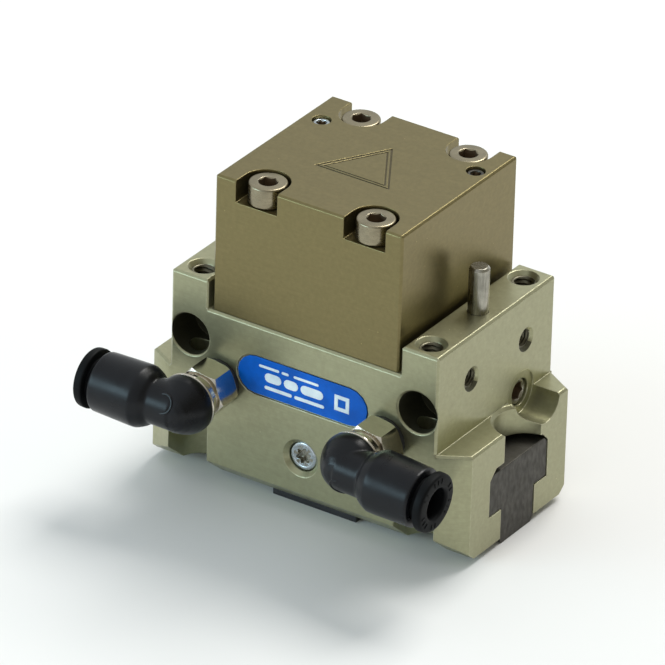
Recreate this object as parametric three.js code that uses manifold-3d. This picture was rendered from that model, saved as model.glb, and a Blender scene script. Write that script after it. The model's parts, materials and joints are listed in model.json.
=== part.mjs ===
// Two-jaw parallel pneumatic gripper with a spring housing on top and two swivelling tube fittings.
// Millimetres. +X is the way the right jaw opens, -Y is the side with the air ports, +Z is up.
// The origin is the middle of the bottom cover's underside, level with the undersides of the jaws.
import * as THREE from 'three';
import { mergeVertices } from 'three/addons/utils/BufferGeometryUtils.js';
import Module from 'manifold-3d';

const wasm = await Module();
wasm.setup();

// ---- driving dimensions ----
const HALF_LENGTH = 22.25;          // housing without its wings, along X
const HALF_DEPTH = 15;              // housing, along Y
const HOUSING_BOTTOM = 1;
const WING_TIP = 26.7;              // wings carry the jaw guides past the housing's ends
const WING_TIP_HALF_DEPTH = 12.33;
const WING_TOP = 17.7;
const CHANNEL_FLOOR = 28.5;         // seat of the spring housing
const HORN_TOP = 33;                // the end walls beside the spring housing
const HORN_INNER = 16.1;
const BOTTOM_BEVEL_Y = 3.9;
const BOTTOM_BEVEL_Z = 3.24;
const EDGE = 0.35;                  // small chamfer on machined edges

const SLOT_STEM = 4.35;             // half widths of the T-slot
const SLOT_FLANGE = 7.5;
const SLOT_SHOULDER = 5.7;
const SLOT_CEILING = 13.1;
const SLOT_CORNER = 1.5;

const JAW_STEM = 4.25;
const JAW_FLANGE = 7.4;
const JAW_SHOULDER = 5.8;
const JAW_TOP = 12.2;
const JAW_TIP = 26.6;
const JAW_STROKE = 4;

const WEDGE_RATIO = 0.7;            // jaw travel for one unit of piston travel
const PISTON_STROKE = JAW_STROKE / WEDGE_RATIO;
const WEDGE_BOTTOM = 1.3;
const WEDGE_TOP = SLOT_CEILING - 0.14 - PISTON_STROKE;
const RAIL_AT_BOTTOM = 9.2;         // outer face of the wedge's rail, at the wedge's underside
const RAIL_DEPTH = 2;
const RAIL_WEB = 1.4;
const RAIL_FLANGE = 2.8;
const RAIL_GAP = 0.15;
const SHAFT_R = 2.6;
const JAW_INNER_LIMIT = 3.1;

const BORE_R = 10.9;
const BORE_FLOOR = 15.5;
const PISTON_R = 10.75;
const PISTON_BOTTOM = 16;
const PISTON_TOP = 21;

const BLOCK_HALF_X = 15.5;          // the spring housing
const BLOCK_HALF_Y = 14.65;
const BLOCK_TOP = 49.9;
const POCKET_FLOOR = 46.5;
const POCKET_R = 3.45;
const SPRING_BORE_R = 9.5;
const COVER_MIDDLE_X = 0.3;         // the pattern of the cover's screws sits this far off the middle
const COVER_SCREW_X = 8.95;
const COVER_SCREW_Y = 11.7;
const COVER_EDGE = 0.3;
const HEAD_R = 2.8;                 // M3 cap screws with a knurled head
const HEAD_HEIGHT = 3.1;
const SET_SCREW_X = 12.85;
const SET_SCREW_Y = 7.5;

const HORN_HOLE_X = 19;             // fastening holes, through the horns and from the front
const HORN_HOLE_Y = 11.8;
const HORN_RIM_R = 2.3;
const FRONT_HOLE_Z = 23.5;
const COUNTERBORE_R = 3.2;
const COUNTERBORE_DEPTH = 6;
const SCREW_CLEARANCE_R = 1.7;
const DOWEL_R = 1.5;

const END_MIDDLE_Y = 0.8;           // the features of the end faces sit this far off the middle
const END_HOLE_Y = 7;
const END_HOLE_Z = 26;
const END_HOLE_R = 1.45;
const END_HOLE_RIM_R = 1.9;
const END_HOLE_DEPTH = 4.5;
const END_POCKET_X = 27.45;
const END_POCKET_R = 4.85;
const SIDE_PORT_Y = 6.9;
const SIDE_PORT_Z = 17.9;
const SIDE_PORT_POCKET_R = 3.35;
const SIDE_PORT_R = 2.1;

const PORT_X = [-13.85, 13.85];     // left and right air port
const PORT_Z = 17.85;
const ARM_SPIN = [-0.5, 3];         // how far each fitting's arm hangs below level, in degrees
const ARM_OUT = 10;                 // from the housing's face to the middle of the arm
const ARM_LENGTH = 12.9;            // from the swivel axis to the end of the arm's body

const GAP = 0.05;                   // between pieces that rest on each other

// ---- shapes ----
function solid(geometry) {
  const bare = geometry.index ? geometry.toNonIndexed() : geometry.clone();
  bare.deleteAttribute('normal');
  bare.deleteAttribute('uv');
  const merged = mergeVertices(bare, 1e-5);
  const vertProperties = merged.attributes.position.array;
  const triVerts = new Uint32Array(merged.index.array);
  return new wasm.Manifold(new wasm.Mesh({ numProp: 3, vertProperties, triVerts }));
}

function geometryOf(manifold) {
  const mesh = manifold.getMesh();
  const geometry = new THREE.BufferGeometry();
  geometry.setAttribute('position', new THREE.Float32BufferAttribute(mesh.vertProperties, 3));
  geometry.setIndex(Array.from(mesh.triVerts));
  const flat = geometry.toNonIndexed();
  flat.computeVertexNormals();
  return flat;
}

function box(x0, x1, y0, y1, z0, z1) {
  const geometry = new THREE.BoxGeometry(x1 - x0, y1 - y0, z1 - z0);
  return solid(geometry.translate((x0 + x1) / 2, (y0 + y1) / 2, (z0 + z1) / 2));
}

// A round bar along an axis: (a, b) is its place across the axis, in X, Y, Z order.
function rodGeometry(axis, a, b, from, to, r, rEnd = r, sides = 18) {
  const geometry = new THREE.CylinderGeometry(rEnd, r, to - from, sides);
  geometry.translate(0, (from + to) / 2, 0);
  if (axis === 'x') geometry.rotateZ(-Math.PI / 2).translate(0, a, b);
  if (axis === 'y') geometry.translate(a, 0, b);
  if (axis === 'z') geometry.rotateX(Math.PI / 2).translate(a, b, 0);
  return geometry;
}

function rod(...args) {
  return solid(rodGeometry(...args));
}

// An outline drawn in (y, z), (x, z) or (x, y), pushed along the axis that is left.
function prism(axis, outline, from, to) {
  const shape = new THREE.Shape(outline.map(([u, v]) => new THREE.Vector2(u, v)));
  const geometry = new THREE.ExtrudeGeometry(shape, { depth: to - from, bevelEnabled: false });
  const turn = new THREE.Matrix4();
  if (axis === 'x') {
    turn.makeBasis(new THREE.Vector3(0, 1, 0), new THREE.Vector3(0, 0, 1), new THREE.Vector3(1, 0, 0));
    geometry.applyMatrix4(turn).translate(from, 0, 0);
  }
  if (axis === 'y') {
    turn.makeBasis(new THREE.Vector3(1, 0, 0), new THREE.Vector3(0, 0, 1), new THREE.Vector3(0, -1, 0));
    geometry.applyMatrix4(turn).translate(0, to, 0);
  }
  if (axis === 'z') geometry.translate(0, 0, from);
  return solid(geometry);
}

// A turned shape: the profile's points are (radius, height along Z).
function turned(profile, sides = 20) {
  const geometry = new THREE.LatheGeometry(profile.map(([r, h]) => new THREE.Vector2(r, h)), sides);
  return solid(geometry.rotateX(Math.PI / 2));
}

function ring(radius, tube, sides = 16) {
  return solid(new THREE.TorusGeometry(radius, tube, 6, sides));
}

// A square bar turned by 45 degrees on an edge: cutting it away leaves a chamfer with this leg.
function edgeBar(axis, a, b, from, to, leg = EDGE) {
  return solid(rodGeometry(axis, a, b, from, to, leg, leg, 4));
}

function countersink(axis, a, b, face, inward, rim, wall, sides = 20) {
  const depth = rim - wall;
  const outside = face - inward * 0.2;
  const bottom = face + inward * depth;
  const rimOut = rim + 0.2;
  if (inward > 0) return rod(axis, a, b, outside, bottom, rimOut, wall, sides);
  return rod(axis, a, b, bottom, outside, wall, rimOut, sides);
}

function cut(body, tools) {
  return tools.reduce((result, tool) => result.subtract(tool), body);
}

function joined(pieces) {
  return pieces.reduce((result, piece) => result.add(piece));
}

function hexagon(acrossFlats, turn = 0) {
  const r = acrossFlats / Math.sqrt(3);
  return Array.from({ length: 6 }, (_, i) => {
    const angle = turn + i * Math.PI / 3;
    return [r * Math.cos(angle), r * Math.sin(angle)];
  });
}

// Six-lobed socket, as in a star-drive screw.
function star(radius) {
  return Array.from({ length: 24 }, (_, i) => {
    const angle = i * Math.PI / 12;
    const r = radius * (0.84 + 0.16 * Math.cos(6 * angle));
    return [r * Math.cos(angle), r * Math.sin(angle)];
  });
}

// ---- the object ----
const gripper = new THREE.Group();
gripper.name = 'pneumatic_gripper';

function finish(color, metalness, roughness) {
  return new THREE.MeshStandardMaterial({ color, metalness, roughness });
}

const anodised = finish(0xa3a28f, 0.6, 0.45);
const oliveAnodised = finish(0x857b58, 0.5, 0.5);
const darkSteel = finish(0x3c3c3e, 0.8, 0.45);
const nickel = finish(0xc9c3b4, 1, 0.2);
const zinc = finish(0xb9c0c8, 0.9, 0.3);
const steel = finish(0x9a9894, 1, 0.35);
const blackPlastic = finish(0x17181b, 0, 0.35);
const blackCover = finish(0x1b1b1c, 0.3, 0.5);
const rubber = finish(0x101010, 0, 0.8);
const blueFoil = finish(0x146ed2, 0, 0.35);

function place(name, manifold, material, parent = gripper) {
  const mesh = new THREE.Mesh(geometryOf(manifold), material);
  mesh.name = name;
  parent.add(mesh);
  return mesh;
}

// ---- housing ----
function wingOutline() {
  return [
    [-HALF_LENGTH, -HALF_DEPTH], [HALF_LENGTH, -HALF_DEPTH],
    [WING_TIP, -WING_TIP_HALF_DEPTH], [WING_TIP, WING_TIP_HALF_DEPTH],
    [HALF_LENGTH, HALF_DEPTH], [-HALF_LENGTH, HALF_DEPTH],
    [-WING_TIP, WING_TIP_HALF_DEPTH], [-WING_TIP, -WING_TIP_HALF_DEPTH],
  ];
}

function housingBlank() {
  const lower = prism('z', wingOutline(), HOUSING_BOTTOM, WING_TOP);
  const upperOutline = [
    [-HALF_LENGTH, WING_TOP - 5], [HALF_LENGTH, WING_TOP - 5],
    [HALF_LENGTH, HORN_TOP], [HORN_INNER, HORN_TOP], [HORN_INNER, CHANNEL_FLOOR],
    [-HORN_INNER, CHANNEL_FLOOR], [-HORN_INNER, HORN_TOP], [-HALF_LENGTH, HORN_TOP],
  ];
  return lower.add(prism('y', upperOutline, -HALF_DEPTH, HALF_DEPTH));
}

function slotOutline() {
  const corner = SLOT_FLANGE - SLOT_CORNER;
  const half = [
    [SLOT_STEM, -1], [SLOT_STEM, SLOT_SHOULDER], [SLOT_FLANGE, SLOT_SHOULDER],
    [SLOT_FLANGE, SLOT_CEILING - SLOT_CORNER], [corner, SLOT_CEILING],
  ];
  return half.concat(half.map(([y, z]) => [-y, z]).reverse());
}

function bottomBevels() {
  return [-1, 1].map((side) => prism('x', [
    [side * HALF_DEPTH, HOUSING_BOTTOM + BOTTOM_BEVEL_Z],
    [side * (HALF_DEPTH - BOTTOM_BEVEL_Y), HOUSING_BOTTOM],
    [side * (HALF_DEPTH - BOTTOM_BEVEL_Y), HOUSING_BOTTOM - 1],
    [side * (HALF_DEPTH + 1), HOUSING_BOTTOM - 1],
    [side * (HALF_DEPTH + 1), HOUSING_BOTTOM + BOTTOM_BEVEL_Z],
  ], -WING_TIP - 1, WING_TIP + 1));
}

// Pockets at the bottom corners, round inside and open to the front or the back, for screw heads.
function cornerPockets() {
  const r = 3.3;
  const top = 10;
  const tools = [];
  for (const sx of [-1, 1]) {
    for (const sy of [-1, 1]) {
      const x = sx * HORN_HOLE_X;
      const y = sy * HORN_HOLE_Y;
      const outside = sy * (HALF_DEPTH + 1);
      tools.push(rod('z', x, y, -1, top, r, r, 20));
      tools.push(box(x - r, x + r, Math.min(y, outside), Math.max(y, outside), -1, top));
    }
  }
  return tools;
}

function hornHoles() {
  const tools = [];
  for (const sx of [-1, 1]) {
    const x = sx * HORN_HOLE_X;
    for (const sy of [-1, 1]) {
      tools.push(rod('z', x, sy * HORN_HOLE_Y, 5, HORN_TOP + 1, SCREW_CLEARANCE_R));
      tools.push(countersink('z', x, sy * HORN_HOLE_Y, HORN_TOP, -1, HORN_RIM_R, SCREW_CLEARANCE_R));
    }
    tools.push(rod('z', x, 0, HORN_TOP - 6, HORN_TOP + 1, DOWEL_R + GAP, DOWEL_R + GAP, 24));
  }
  return tools;
}

// Counterbored holes right through, from the front face to the back face.
function frontHoles() {
  const tools = [];
  for (const sx of [-1, 1]) {
    const x = sx * HORN_HOLE_X;
    tools.push(rod('y', x, FRONT_HOLE_Z, -HALF_DEPTH - 1, HALF_DEPTH + 1, SCREW_CLEARANCE_R));
    const floor = -HALF_DEPTH + COUNTERBORE_DEPTH;
    tools.push(rod('y', x, FRONT_HOLE_Z, -HALF_DEPTH - 1, floor, COUNTERBORE_R, COUNTERBORE_R, 28));
    tools.push(countersink('y', x, FRONT_HOLE_Z, -HALF_DEPTH, 1, COUNTERBORE_R + 0.25, COUNTERBORE_R, 28));
  }
  return tools;
}

function endHoles() {
  const tools = [];
  for (const sx of [-1, 1]) {
    const face = sx * HALF_LENGTH;
    const ends = [face - sx * END_HOLE_DEPTH, face + sx].sort((a, b) => a - b);
    for (const y of [END_MIDDLE_Y - END_HOLE_Y, END_MIDDLE_Y + END_HOLE_Y]) {
      tools.push(rod('x', y, END_HOLE_Z, ...ends, END_HOLE_R));
      tools.push(countersink('x', y, END_HOLE_Z, face, -sx, END_HOLE_RIM_R, END_HOLE_R));
    }
  }
  return tools;
}

// Half-round pocket above each jaw, and the sunk side port with its threaded hole.
function endPockets() {
  const tools = [];
  for (const sx of [-1, 1]) {
    const x = sx * END_POCKET_X;
    const y = END_MIDDLE_Y;
    tools.push(rod('z', x, y, SLOT_CEILING - 0.5, WING_TOP + 1, END_POCKET_R, END_POCKET_R, 36));
    tools.push(countersink('z', x, y, WING_TOP, -1, END_POCKET_R + 0.45, END_POCKET_R, 36));
  }
  const pocketR = SIDE_PORT_POCKET_R;
  tools.push(rod('x', SIDE_PORT_Y, SIDE_PORT_Z, HALF_LENGTH - 0.2, WING_TIP + 1, pocketR, pocketR, 28));
  tools.push(rod('x', SIDE_PORT_Y, SIDE_PORT_Z, 17, HALF_LENGTH, SIDE_PORT_R, SIDE_PORT_R, 20));
  return tools;
}

function airPorts() {
  const tools = [];
  for (const x of PORT_X) {
    tools.push(rod('y', x, PORT_Z, -HALF_DEPTH - 1, -HALF_DEPTH + 5, 2.1));
    const inward = new THREE.CylinderGeometry(0.7, 0.7, 8, 12);
    inward.rotateZ(Math.sign(x) * 0.75);
    inward.translate(x - Math.sign(x) * 2.2, -HALF_DEPTH + 6.5, PORT_Z);
    tools.push(solid(inward));
  }
  return tools;
}

const PLATE_LENGTH = 21.6;
const PLATE_HEIGHT = 5.8;
const PLATE_Z = 20.7;
function stadium(length, height, z) {
  const r = height / 2;
  const arc = (centre, from) => Array.from({ length: 9 }, (_, i) => {
    const angle = from + i * Math.PI / 8;
    return [centre + r * Math.cos(angle), z + r * Math.sin(angle)];
  });
  return arc(length / 2 - r, -Math.PI / 2).concat(arc(r - length / 2, Math.PI / 2));
}

const PURGE_Z = 9.85;
const PURGE_R = 2.2;
const PURGE_RIM_R = 2.95;
function frontDetails() {
  return [
    prism('y', stadium(PLATE_LENGTH + 0.5, PLATE_HEIGHT + 0.5, PLATE_Z), -HALF_DEPTH - 1, -HALF_DEPTH + 0.35),
    rod('y', 0, PURGE_Z, -HALF_DEPTH - 1, -HALF_DEPTH + 2, PURGE_R + 0.1, PURGE_R + 0.1, 24),
    countersink('y', 0, PURGE_Z, -HALF_DEPTH, 1, PURGE_RIM_R, PURGE_R + 0.1, 24),
    rod('y', 0, PURGE_Z, -HALF_DEPTH, -HALF_DEPTH + 7, 1.4, 1.4, 16),
  ];
}

const COVER_SCREW_PLACES = [[-4.5, -9], [4.5, -9], [-4.5, 9], [4.5, 9]];
function innerBores() {
  const tools = [
    rod('z', 0, 0, BORE_FLOOR, HORN_TOP, BORE_R, BORE_R, 28),
    rod('z', 0, 0, SLOT_CEILING - 1, BORE_FLOOR + 1, SHAFT_R + 0.15),
    rod('z', 0, 0, 13.75, 14.9, 4.05, 4.05, 18),
    rod('z', 0, 0, CHANNEL_FLOOR - 1.1, CHANNEL_FLOOR + 1, 12.85, 12.85, 24)
      .subtract(rod('z', 0, 0, CHANNEL_FLOOR - 2, CHANNEL_FLOOR + 2, 11.55, 11.55, 24)),
  ];
  for (const sx of [-1, 1]) {
    for (const sy of [-1, 1]) {
      const x = COVER_MIDDLE_X + sx * COVER_SCREW_X;
      tools.push(rod('z', x, sy * COVER_SCREW_Y, 21.2, CHANNEL_FLOOR + 1, 1.5, 1.5, 12));
    }
  }
  for (const [x, y] of COVER_SCREW_PLACES) {
    tools.push(rod('z', x, y, 0, 5, 0.9, 0.9, 10));
  }
  return tools;
}

function housingEdges() {
  const bars = [];
  for (const sx of [-1, 1]) {
    for (const x of [HALF_LENGTH, HORN_INNER]) {
      bars.push(edgeBar('y', sx * x, HORN_TOP, -HALF_DEPTH - 1, HALF_DEPTH + 1));
    }
    bars.push(edgeBar('y', sx * WING_TIP, WING_TOP, -HALF_DEPTH, HALF_DEPTH));
    for (const sy of [-1, 1]) {
      const y = sy * HALF_DEPTH;
      const ends = [sx * HORN_INNER, sx * (HALF_LENGTH + 1)].sort((a, b) => a - b);
      bars.push(edgeBar('x', y, HORN_TOP, ends[0] - 0.01, ends[1]));
      bars.push(edgeBar('z', sx * HALF_LENGTH, y, WING_TOP, HORN_TOP + 1));
      bars.push(edgeBar('z', sx * HORN_INNER, y, CHANNEL_FLOOR, HORN_TOP + 1, 0.25));
      bars.push(wingEdge(sx, sy));
    }
  }
  for (const sy of [-1, 1]) {
    bars.push(edgeBar('x', sy * HALF_DEPTH, CHANNEL_FLOOR, -HORN_INNER, HORN_INNER));
  }
  return bars;
}

// The slanting top edge between a housing corner and a wing's tip.
function wingEdge(sx, sy) {
  const from = new THREE.Vector3(sx * HALF_LENGTH, sy * HALF_DEPTH, WING_TOP);
  const to = new THREE.Vector3(sx * WING_TIP, sy * WING_TIP_HALF_DEPTH, WING_TOP);
  const length = from.distanceTo(to) + 1;
  const geometry = new THREE.CylinderGeometry(EDGE, EDGE, length, 4);
  const way = to.clone().sub(from).normalize();
  const middle = from.clone().add(way.clone().multiplyScalar(length / 2));
  geometry.rotateX(Math.PI / 2);
  const basis = new THREE.Matrix4();
  const up = new THREE.Vector3(0, 0, 1);
  basis.makeBasis(up.clone().cross(way), up, way);
  geometry.applyMatrix4(basis).translate(middle.x, middle.y, middle.z);
  return solid(geometry);
}

function housing() {
  const slot = prism('x', slotOutline(), -WING_TIP - 1, WING_TIP + 1);
  const tools = [slot, ...bottomBevels(), ...cornerPockets(), ...hornHoles(), ...frontHoles(), ...endHoles()];
  tools.push(...endPockets(), ...airPorts(), ...frontDetails(), ...innerBores(), ...housingEdges());
  return cut(housingBlank(), tools);
}

// ---- spring housing and what holds it ----
const WARNING_TRIANGLE = [[-5.9, -4.2], [6.4, -4.2], [0.2, 6.2]];
const ENGRAVING_DEPTH = 0.15;
function insetOutline(outline, towards, share) {
  return outline.map(([x, y]) => [x + (towards[0] - x) * share, y + (towards[1] - y) * share]);
}

function engravedTriangle() {
  const centre = [0.23, -0.75];
  const line = (outer, inner) => {
    const outside = insetOutline(WARNING_TRIANGLE, centre, outer);
    const inside = insetOutline(WARNING_TRIANGLE, centre, inner);
    const plate = prism('z', outside, BLOCK_TOP - ENGRAVING_DEPTH, BLOCK_TOP + 1);
    return plate.subtract(prism('z', inside, BLOCK_TOP - 1, BLOCK_TOP + 2));
  };
  return [line(0, 0.06), line(0.16, 0.21)];
}

function springHousing() {
  const blank = box(-BLOCK_HALF_X, BLOCK_HALF_X, -BLOCK_HALF_Y, BLOCK_HALF_Y, CHANNEL_FLOOR + GAP, BLOCK_TOP);
  const tools = [rod('z', 0, 0, CHANNEL_FLOOR - 1, POCKET_FLOOR, SPRING_BORE_R, SPRING_BORE_R, 32)];
  for (const sx of [-1, 1]) {
    const x = COVER_MIDDLE_X + sx * COVER_SCREW_X;
    for (const sy of [-1, 1]) {
      const y = sy * COVER_SCREW_Y;
      tools.push(rod('z', x, y, CHANNEL_FLOOR - 1, BLOCK_TOP, SCREW_CLEARANCE_R, SCREW_CLEARANCE_R, 16));
      tools.push(...screwPocket(x, sy));
    }
    const setScrewX = COVER_MIDDLE_X + sx * SET_SCREW_X;
    tools.push(rod('z', setScrewX, SET_SCREW_Y, BLOCK_TOP - 4.5, BLOCK_TOP + 1, 1.4, 1.4, 16));
  }
  return cut(blank, tools.concat(springHousingEdges(), engravedTriangle()));
}

function springHousingEdges() {
  const bars = [];
  const farX = BLOCK_HALF_X + 1;
  const farY = BLOCK_HALF_Y + 1;
  for (const side of [-1, 1]) {
    bars.push(edgeBar('y', side * BLOCK_HALF_X, BLOCK_TOP, -farY, farY, COVER_EDGE));
    bars.push(edgeBar('x', side * BLOCK_HALF_Y, BLOCK_TOP, -farX, farX, COVER_EDGE));
    for (const sy of [-1, 1]) {
      const y = sy * BLOCK_HALF_Y;
      bars.push(edgeBar('z', side * BLOCK_HALF_X, y, CHANNEL_FLOOR - 1, BLOCK_TOP + 1, COVER_EDGE));
    }
  }
  return bars;
}

// A pocket for a screw's head: round behind the head, and open to the front or the back.
function screwPocket(x, sy) {
  const y = sy * (COVER_SCREW_Y + 0.45);
  const ends = [y, sy * (BLOCK_HALF_Y + 1)].sort((a, b) => a - b);
  return [
    rod('z', x, y, POCKET_FLOOR, BLOCK_TOP + 1, POCKET_R, POCKET_R, 36),
    box(x - POCKET_R, x + POCKET_R, ...ends, POCKET_FLOOR, BLOCK_TOP + 1),
  ];
}

// Cap screw standing on z = 0 with its thread below; the socket is a hexagon.
function capScrew(headR, headHeight, threadR, threadLength, socket) {
  const rim = 0.25;
  const body = turned([
    [0, -threadLength], [threadR - 0.3, -threadLength], [threadR, -threadLength + 0.3], [threadR, 0],
    [headR, 0], [headR, headHeight - rim], [headR - rim, headHeight], [0, headHeight],
  ]);
  return body.subtract(prism('z', hexagon(socket), headHeight * 0.45, headHeight + 1));
}

function setScrew(r, length, socket) {
  const body = turned([
    [0, -length], [r - 0.3, -length], [r, -length + 0.3], [r, -0.2], [r - 0.2, 0], [0, 0],
  ], 18);
  return body.subtract(prism('z', hexagon(socket), -1.4, 1));
}

function flatScrew() {
  const body = turned([[0, 4.4], [0.8, 4.4], [0.8, 0.55], [1.5, 0.55], [1.5, 0.08], [0, 0.08]].reverse(), 16);
  return body.subtract(prism('z', hexagon(1.3), -1, 0.42));
}

place('housing', housing(), anodised);
place('spring_housing', springHousing(), oliveAnodised);

let screwNumber = 1;
for (const sy of [-1, 1]) {
  for (const sx of [-1, 1]) {
    const shape = capScrew(HEAD_R, HEAD_HEIGHT, 1.42, 25, 2.5);
    const screw = place(`spring_housing_screw_${screwNumber}`, shape, nickel);
    screw.position.set(COVER_MIDDLE_X + sx * COVER_SCREW_X, sy * COVER_SCREW_Y, POCKET_FLOOR + GAP);
    screw.rotation.z = 0.35 * screwNumber;
    screwNumber += 1;
  }
}

for (const [name, side] of [['left', -1], ['right', 1]]) {
  const screw = place(`top_set_screw_${name}`, setScrew(1.33, 3.8, 1.3), darkSteel);
  screw.position.set(COVER_MIDDLE_X + side * SET_SCREW_X, SET_SCREW_Y, BLOCK_TOP - 0.35);
}

// ---- small pieces on the housing ----
function dowelPin() {
  const bottom = HORN_TOP - 5.9;
  const top = HORN_TOP + 7.1;
  return turned([
    [0, bottom], [DOWEL_R - 0.3, bottom], [DOWEL_R, bottom + 0.4],
    [DOWEL_R, top - 0.35], [DOWEL_R - 0.3, top], [0, top],
  ], 24);
}
place('dowel_pin', dowelPin(), steel).position.set(HORN_HOLE_X, 0, 0);

const plateOutline = stadium(PLATE_LENGTH, PLATE_HEIGHT, PLATE_Z);
place('name_plate', prism('y', plateOutline, -HALF_DEPTH + 0.05, -HALF_DEPTH + 0.3), blueFoil);

function purgeScrew() {
  const head = rod('y', 0, 0, -1.25, -0.05, PURGE_R, PURGE_R, 24);
  const thread = rod('y', 0, 0, -0.5, 4.6, 1.3, 1.3, 12);
  return head.add(thread).subtract(prism('y', star(1.3), -2, -0.4));
}
place('purge_screw', purgeScrew(), zinc).position.set(0, -HALF_DEPTH + 2, PURGE_Z);

const portPlug = place('side_port_plug', setScrew(2.02, 4.2, 2.5), zinc);
portPlug.position.set(HALF_LENGTH - 0.5, SIDE_PORT_Y, SIDE_PORT_Z);
portPlug.rotation.y = Math.PI / 2;

function bottomCover() {
  const plate = box(-7, 7, -11, 11, 0, HOUSING_BOTTOM - GAP);
  const tools = [];
  for (const [x, y] of COVER_SCREW_PLACES) {
    tools.push(rod('z', x, y, -1, 2, 0.9, 0.9, 10), rod('z', x, y, -1, 0.6, 1.6, 1.6, 16));
  }
  return cut(plate, tools);
}
place('bottom_cover', bottomCover(), blackCover);
COVER_SCREW_PLACES.forEach(([x, y], index) => {
  place(`bottom_cover_screw_${index + 1}`, flatScrew(), darkSteel).position.set(x, y, 0);
});

place('cylinder_seal', ring(12.2, 0.45, 24), rubber).position.set(0, 0, CHANNEL_FLOOR - 0.58);
place('shaft_seal', ring(3.42, 0.5), rubber).position.set(0, 0, 14.32);

// ---- jaws ----
function railFace(z) {
  return RAIL_AT_BOTTOM - WEDGE_RATIO * (z - WEDGE_BOTTOM);
}

function jaw() {
  const profile = [
    [JAW_STEM - 0.5, 0], [JAW_STEM, 0.5], [JAW_STEM, JAW_SHOULDER], [JAW_FLANGE, JAW_SHOULDER],
    [JAW_FLANGE, JAW_TOP - 0.8], [JAW_FLANGE - 0.8, JAW_TOP],
  ];
  const outline = profile.concat(profile.map(([y, z]) => [-y, z]).reverse());
  const bar = prism('x', outline, -2, JAW_TIP);
  const kneeZ = WEDGE_BOTTOM + (RAIL_AT_BOTTOM - RAIL_DEPTH - JAW_INNER_LIMIT) / WEDGE_RATIO;
  const nose = prism('y', [
    [-3, -1], [railFace(-1) - RAIL_DEPTH, -1], [JAW_INNER_LIMIT, kneeZ],
    [JAW_INNER_LIMIT, JAW_TOP + 1], [-3, JAW_TOP + 1],
  ], -10, 10);
  const tools = [nose, slantedBar(-RAIL_DEPTH - 1, -1 + RAIL_GAP, RAIL_WEB + RAIL_GAP)];
  tools.push(slantedBar(-1 - RAIL_GAP, RAIL_GAP, RAIL_FLANGE + RAIL_GAP));
  for (const x of [14, 22]) {
    tools.push(rod('z', x, 0, -1, 8, 1.25, 1.25, 20), countersink('z', x, 0, 0, 1, 1.65, 1.25));
  }
  return cut(bar, tools);
}

// A bar that leans as the wedge does, between two distances from the rail's outer face.
function slantedBar(from, to, halfWidth, z0 = -1, z1 = SLOT_CEILING + 1) {
  return prism('y', [
    [railFace(z0) + from, z0], [railFace(z0) + to, z0], [railFace(z1) + to, z1], [railFace(z1) + from, z1],
  ], -halfWidth, halfWidth);
}

place('jaw_right', jaw(), darkSteel);
place('jaw_left', jaw(), darkSteel).rotation.z = Math.PI;

// ---- piston ----
function wedgeHook() {
  const core = prism('y', [
    [-railFace(WEDGE_BOTTOM) + RAIL_DEPTH + RAIL_GAP, WEDGE_BOTTOM],
    [railFace(WEDGE_BOTTOM) - RAIL_DEPTH - RAIL_GAP, WEDGE_BOTTOM],
    [railFace(WEDGE_TOP) - RAIL_DEPTH - RAIL_GAP, WEDGE_TOP],
    [-railFace(WEDGE_TOP) + RAIL_DEPTH + RAIL_GAP, WEDGE_TOP],
  ], -4, 4);
  const rail = joined([
    slantedBar(-RAIL_DEPTH - 1, -0.5, RAIL_WEB, WEDGE_BOTTOM, WEDGE_TOP),
    slantedBar(-1, 0, RAIL_FLANGE, WEDGE_BOTTOM, WEDGE_TOP),
  ]);
  const mirrored = new THREE.Mesh(geometryOf(rail), steel);
  mirrored.rotation.z = Math.PI;
  mirrored.updateMatrix();
  const otherRail = solid(mirrored.geometry.clone().applyMatrix4(mirrored.matrix));
  const shaft = rod('z', 0, 0, WEDGE_TOP - 2, PISTON_BOTTOM - GAP, SHAFT_R, SHAFT_R, 18);
  return joined([core, rail, otherRail, shaft]).subtract(rod('z', 0, 0, 9, PISTON_BOTTOM + 1, 1.3, 1.3, 16));
}
place('wedge_hook', wedgeHook(), steel);

function piston() {
  const body = turned([
    [0, PISTON_BOTTOM], [PISTON_R - 0.4, PISTON_BOTTOM], [PISTON_R, PISTON_BOTTOM + 0.4],
    [PISTON_R, 17.8], [9.45, 17.8], [9.45, 19.2], [PISTON_R, 19.2],
    [PISTON_R, PISTON_TOP - 0.4], [PISTON_R - 0.4, PISTON_TOP], [0, PISTON_TOP],
  ], 28);
  return cut(body, [rod('z', 0, 0, 15, 25, 1.5, 1.5, 16), rod('z', 0, 0, 18, 25, 3, 3, 18)]);
}
place('piston', piston(), finish(0xb8b8b4, 0.9, 0.35));
place('piston_seal', ring(10.1, 0.5, 24), rubber).position.set(0, 0, 18.5);
place('piston_screw', capScrew(2.75, 2.9, 1.2, 7.6, 2.5), darkSteel).position.set(0, 0, 18 + GAP);

// ---- spring ----
class Helix extends THREE.Curve {
  constructor(radius, turns, bottom, top) {
    super();
    Object.assign(this, { radius, turns, bottom, top });
  }

  getPoint(t, target = new THREE.Vector3()) {
    const angle = t * this.turns * Math.PI * 2;
    const z = this.bottom + (this.top - this.bottom) * t;
    return target.set(this.radius * Math.cos(angle), this.radius * Math.sin(angle), z);
  }
}

const WIRE_R = 0.95;
function closingSpring() {
  const path = new Helix(7.4, 6, PISTON_TOP + WIRE_R + 0.15, POCKET_FLOOR - WIRE_R - 0.15);
  const section = new THREE.Shape();
  section.absarc(0, 0, WIRE_R, 0, Math.PI * 2);
  const settings = { steps: 66, extrudePath: path, curveSegments: 3, bevelEnabled: false };
  return solid(new THREE.ExtrudeGeometry(section, settings));
}
place('closing_spring', closingSpring(), steel);

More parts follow.
